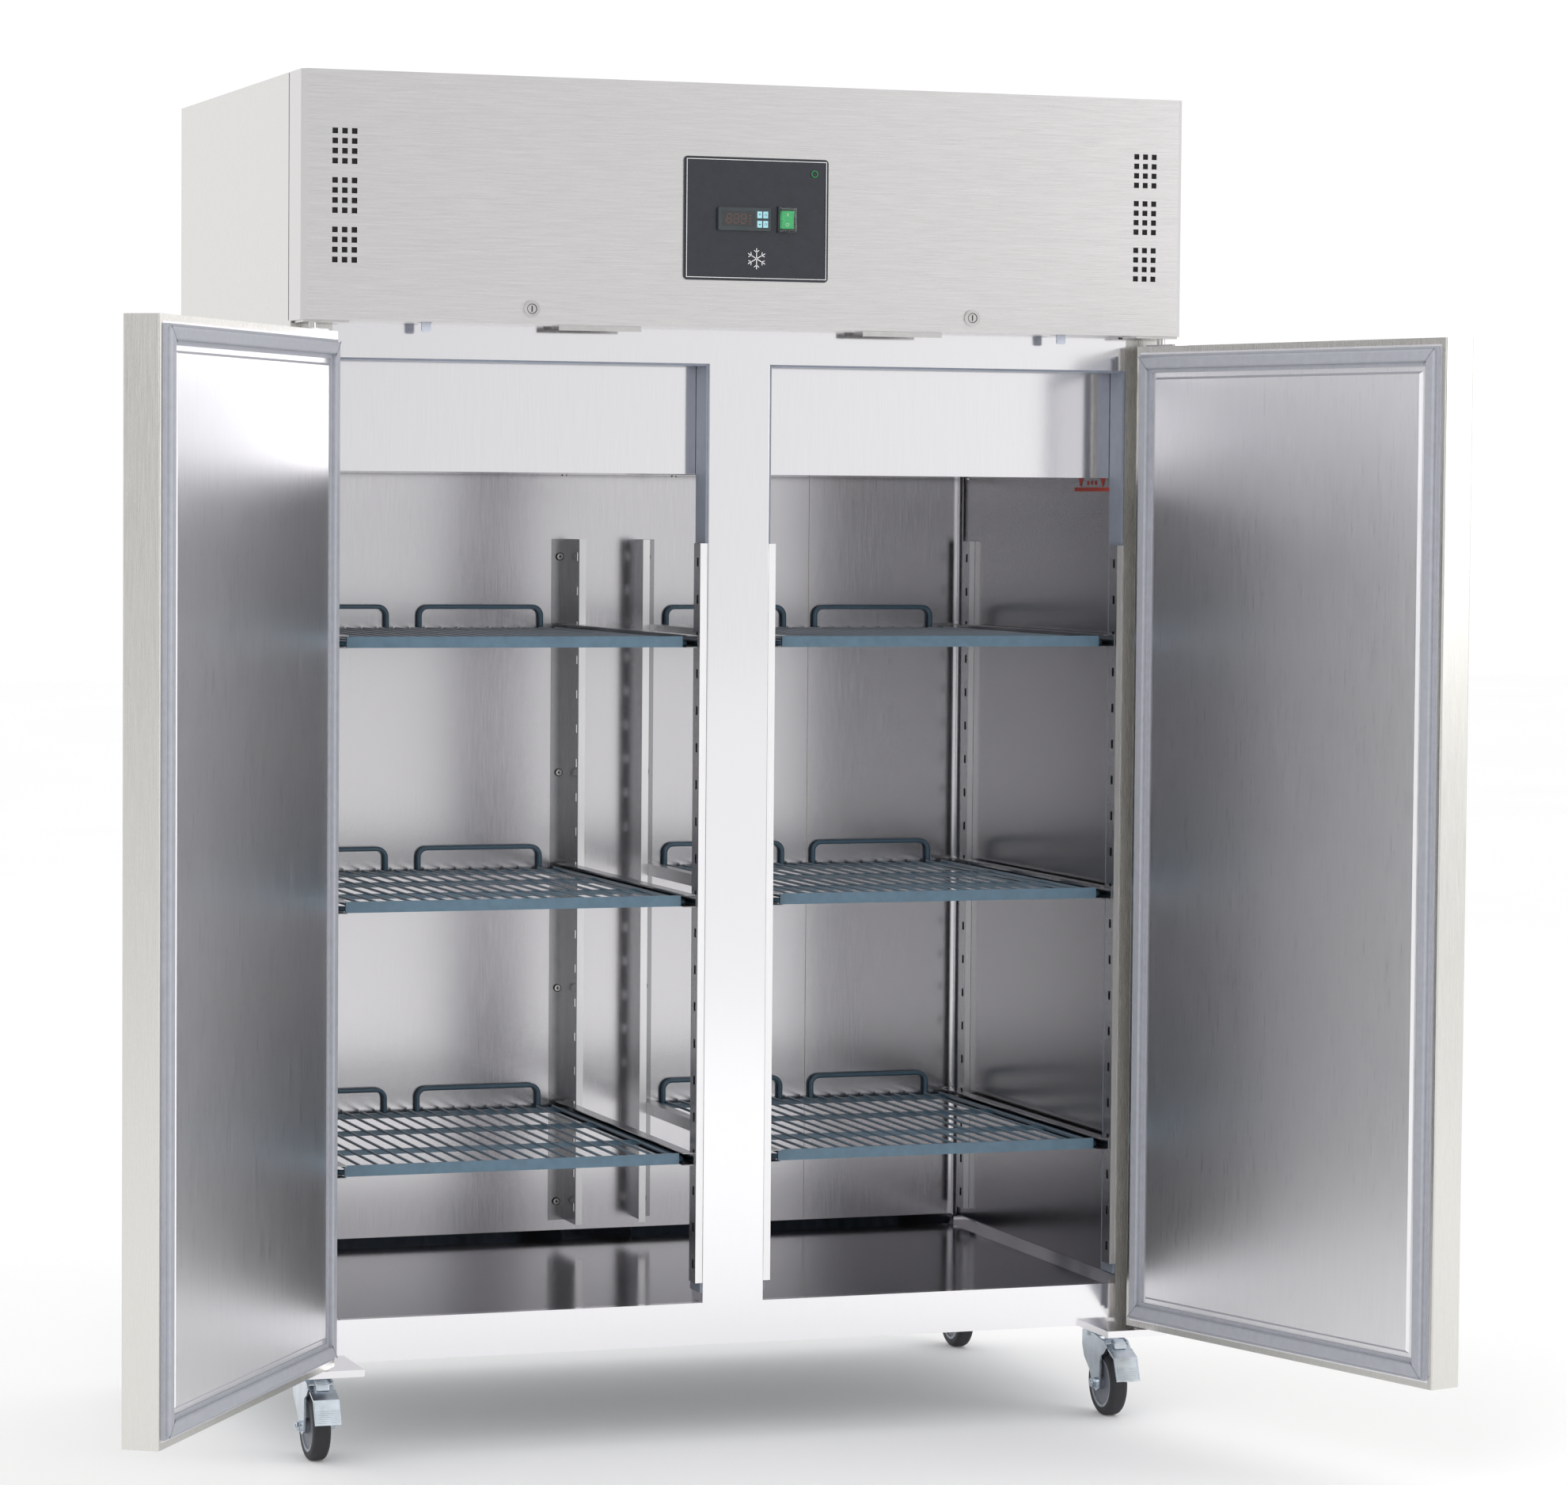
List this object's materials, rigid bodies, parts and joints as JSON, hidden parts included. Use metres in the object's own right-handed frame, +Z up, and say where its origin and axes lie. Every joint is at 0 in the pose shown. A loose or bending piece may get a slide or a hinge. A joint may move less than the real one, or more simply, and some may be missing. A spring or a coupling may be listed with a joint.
{
  "type": "reach in refrigerator",
  "caption": "Upright stainless storage refrigerator with hinged full-height doors, pull-out wire shelves, a top-mounted cooling unit behind a vented fascia, and swivel castors.",
  "frame": {"origin": "on the floor, under the middle of the front frame's face", "axes": "+X to the right as seen from the front, +Y from the front to the back, +Z up; the doors face -Y"},
  "size_m": [1.8789, 1.3991, 1.982],
  "materials": {
    "black_paint": "black enamel",
    "breaker_plastic": "satin plastic",
    "bright_fitting": "nickel plate",
    "brushed_skin": "brushed stainless sheet",
    "case_dark": "dark moulded plastic",
    "copper": "bare copper tube",
    "fan_plastic": "moulded plastic",
    "fins": "bare aluminium fins",
    "foam": "rigid insulating foam",
    "galvanised_sheet": "galvanised sheet",
    "gasket": "soft satin vinyl",
    "key": "pale rubber key",
    "liner_sheet": "bright stainless sheet",
    "panel_black": "black printed panel",
    "polished_frame": "mirror polished stainless sheet",
    "rocker": "green lit plastic",
    "shelf_coating": "satin plastic-coated wire",
    "shelf_support": "satin stainless sheet",
    "switch_plastic": "white plastic",
    "wheel": "rubber tread on grey hub",
    "zinc": "bright zinc plate"
  },
  "bodies": {
    "root": {"back_panel": "galvanised_sheet", "base_pan": "galvanised_sheet", "bottom_brackets": "polished_frame", "breaker_strips": "breaker_plastic", "castor_plates": "zinc", "compressor": "black_paint", "condenser": "fins", "control_plate": "panel_black", "controller": "case_dark", "evaporator": "fins", "evaporator_cover": "liner_sheet", "fascia": "brushed_skin", "floor_tray": "liner_sheet", "front_rails": "polished_frame", "header_hardware": "bright_fitting", "insulation": "foam", "liner": "liner_sheet", "machine_deck": "galvanised_sheet", "mullion": "polished_frame", "pipes": "copper", "runners": "shelf_support", "screws": "bright_fitting", "side_panel_left": "brushed_skin", "side_panel_right": "brushed_skin", "uprights": "shelf_support"},
    "door_left": {"door_left_shell": "brushed_skin", "door_left_inner_panel": "liner_sheet", "door_left_gasket": "gasket", "door_left_pivot_plates": "bright_fitting"},
    "door_right": {"door_right_shell": "brushed_skin", "door_right_inner_panel": "liner_sheet", "door_right_gasket": "gasket", "door_right_pivot_plates": "bright_fitting"},
    "shelf_left_top": {"shelf_left_top": "shelf_coating"},
    "shelf_left_middle": {"shelf_left_middle": "shelf_coating"},
    "shelf_left_bottom": {"shelf_left_bottom": "shelf_coating"},
    "shelf_right_top": {"shelf_right_top": "shelf_coating"},
    "shelf_right_middle": {"shelf_right_middle": "shelf_coating"},
    "shelf_right_bottom": {"shelf_right_bottom": "shelf_coating"},
    "castor_front_left": {"castor_fork_front_left": "zinc"},
    "wheel_front_left": {"castor_wheel_front_left": "wheel"},
    "castor_front_right": {"castor_fork_front_right": "zinc"},
    "wheel_front_right": {"castor_wheel_front_right": "wheel"},
    "castor_rear_left": {"castor_fork_rear_left": "zinc"},
    "wheel_rear_left": {"castor_wheel_rear_left": "wheel"},
    "castor_rear_right": {"castor_fork_rear_right": "zinc"},
    "wheel_rear_right": {"castor_wheel_rear_right": "wheel"},
    "brake_pedal_left": {"brake_pedal_left": "zinc"},
    "lock_cylinder_left": {"lock_cylinder_left": "bright_fitting"},
    "door_switch_tongue_left": {"door_switch_tongue_left": "switch_plastic"},
    "brake_pedal_right": {"brake_pedal_right": "zinc"},
    "lock_cylinder_right": {"lock_cylinder_right": "bright_fitting"},
    "door_switch_tongue_right": {"door_switch_tongue_right": "switch_plastic"},
    "controller_key_1": {"controller_key_1": "key"},
    "controller_key_2": {"controller_key_2": "key"},
    "controller_key_3": {"controller_key_3": "key"},
    "controller_key_4": {"controller_key_4": "key"},
    "switch_rocker": {"switch_rocker": "rocker"},
    "evaporator_fan": {"evaporator_fan": "fan_plastic"},
    "condenser_fan": {"condenser_fan": "fan_plastic"}
  },
  "joints": [
    {"name": "door_left_hinge", "type": "hinge", "parent": "root", "child": "door_left", "pos_m": [-0.648, -0.042, 0.85], "axis": [0, 0, -1], "range_deg": [-124, 11]},
    {"name": "door_right_hinge", "type": "hinge", "parent": "root", "child": "door_right", "pos_m": [0.648, -0.042, 0.85], "axis": [0, 0, 1], "range_deg": [-107, 28]},
    {"name": "shelf_left_top_slide", "type": "slide", "parent": "root", "child": "shelf_left_top", "axis": [0, -1, 0], "range_m": [0, 0.45]},
    {"name": "shelf_left_middle_slide", "type": "slide", "parent": "root", "child": "shelf_left_middle", "axis": [0, -1, 0], "range_m": [0, 0.45]},
    {"name": "shelf_left_bottom_slide", "type": "slide", "parent": "root", "child": "shelf_left_bottom", "axis": [0, -1, 0], "range_m": [0, 0.45]},
    {"name": "shelf_right_top_slide", "type": "slide", "parent": "root", "child": "shelf_right_top", "axis": [0, -1, 0], "range_m": [0, 0.45]},
    {"name": "shelf_right_middle_slide", "type": "slide", "parent": "root", "child": "shelf_right_middle", "axis": [0, -1, 0], "range_m": [0, 0.45]},
    {"name": "shelf_right_bottom_slide", "type": "slide", "parent": "root", "child": "shelf_right_bottom", "axis": [0, -1, 0], "range_m": [0, 0.45]},
    {"name": "castor_front_left_swivel", "type": "hinge", "parent": "root", "child": "castor_front_left", "pos_m": [-0.618, 0.077, 0.128], "axis": [0, 0, 1], "continuous": true},
    {"name": "wheel_front_left_axle", "type": "hinge", "parent": "castor_front_left", "child": "wheel_front_left", "pos_m": [-0.618, 0.045, 0.05], "axis": [1, 0, 0], "continuous": true},
    {"name": "castor_front_right_swivel", "type": "hinge", "parent": "root", "child": "castor_front_right", "pos_m": [0.618, 0.077, 0.128], "axis": [0, 0, 1], "continuous": true},
    {"name": "wheel_front_right_axle", "type": "hinge", "parent": "castor_front_right", "child": "wheel_front_right", "pos_m": [0.618, 0.045, 0.05], "axis": [1, 0, 0], "continuous": true},
    {"name": "castor_rear_left_swivel", "type": "hinge", "parent": "root", "child": "castor_rear_left", "pos_m": [-0.618, 0.65, 0.128], "axis": [0, 0, 1], "continuous": true},
    {"name": "wheel_rear_left_axle", "type": "hinge", "parent": "castor_rear_left", "child": "wheel_rear_left", "pos_m": [-0.618, 0.682, 0.05], "axis": [1, 0, 0], "continuous": true},
    {"name": "castor_rear_right_swivel", "type": "hinge", "parent": "root", "child": "castor_rear_right", "pos_m": [0.618, 0.65, 0.128], "axis": [0, 0, 1], "continuous": true},
    {"name": "wheel_rear_right_axle", "type": "hinge", "parent": "castor_rear_right", "child": "wheel_rear_right", "pos_m": [0.618, 0.682, 0.05], "axis": [1, 0, 0], "continuous": true},
    {"name": "brake_pedal_left_pivot", "type": "hinge", "parent": "castor_front_left", "child": "brake_pedal_left", "pos_m": [-0.618, 0.015, 0.108], "axis": [1, 0, 0], "range_deg": [-18, 0]},
    {"name": "lock_cylinder_left_turn", "type": "hinge", "parent": "root", "child": "lock_cylinder_left", "pos_m": [-0.3355, -0.05, 1.6534], "axis": [0, 1, 0], "range_deg": [0, 90]},
    {"name": "door_switch_tongue_left_pivot", "type": "hinge", "parent": "root", "child": "door_switch_tongue_left", "pos_m": [-0.4847, -0.04675, 1.642], "axis": [1, 0, 0], "range_deg": [0, 20], "stiffness_Nm_per_rad": 0.02},
    {"name": "brake_pedal_right_pivot", "type": "hinge", "parent": "castor_front_right", "child": "brake_pedal_right", "pos_m": [0.618, 0.015, 0.108], "axis": [1, 0, 0], "range_deg": [-18, 0]},
    {"name": "lock_cylinder_right_turn", "type": "hinge", "parent": "root", "child": "lock_cylinder_right", "pos_m": [0.3355, -0.05, 1.6534], "axis": [0, 1, 0], "range_deg": [0, 90]},
    {"name": "door_switch_tongue_right_pivot", "type": "hinge", "parent": "root", "child": "door_switch_tongue_right", "pos_m": [0.4847, -0.04675, 1.642], "axis": [1, 0, 0], "range_deg": [0, 20], "stiffness_Nm_per_rad": 0.02},
    {"name": "controller_key_1_press", "type": "slide", "parent": "root", "child": "controller_key_1", "axis": [0, 1, 0], "range_m": [0, 0.001], "stiffness_N_per_m": 250},
    {"name": "controller_key_2_press", "type": "slide", "parent": "root", "child": "controller_key_2", "axis": [0, 1, 0], "range_m": [0, 0.001], "stiffness_N_per_m": 250},
    {"name": "controller_key_3_press", "type": "slide", "parent": "root", "child": "controller_key_3", "axis": [0, 1, 0], "range_m": [0, 0.001], "stiffness_N_per_m": 250},
    {"name": "controller_key_4_press", "type": "slide", "parent": "root", "child": "controller_key_4", "axis": [0, 1, 0], "range_m": [0, 0.001], "stiffness_N_per_m": 250},
    {"name": "switch_rocker_tilt", "type": "hinge", "parent": "root", "child": "switch_rocker", "pos_m": [0.046, -0.066, 1.789], "axis": [1, 0, 0], "range_deg": [-12, 0]},
    {"name": "evaporator_fan_spin", "type": "hinge", "parent": "root", "child": "evaporator_fan", "pos_m": [0, 0.215, 1.44], "axis": [0, 0, 1], "continuous": true},
    {"name": "condenser_fan_spin", "type": "hinge", "parent": "root", "child": "condenser_fan", "pos_m": [-0.33, 0.24, 1.808], "axis": [0, 1, 0], "continuous": true}
  ]
}
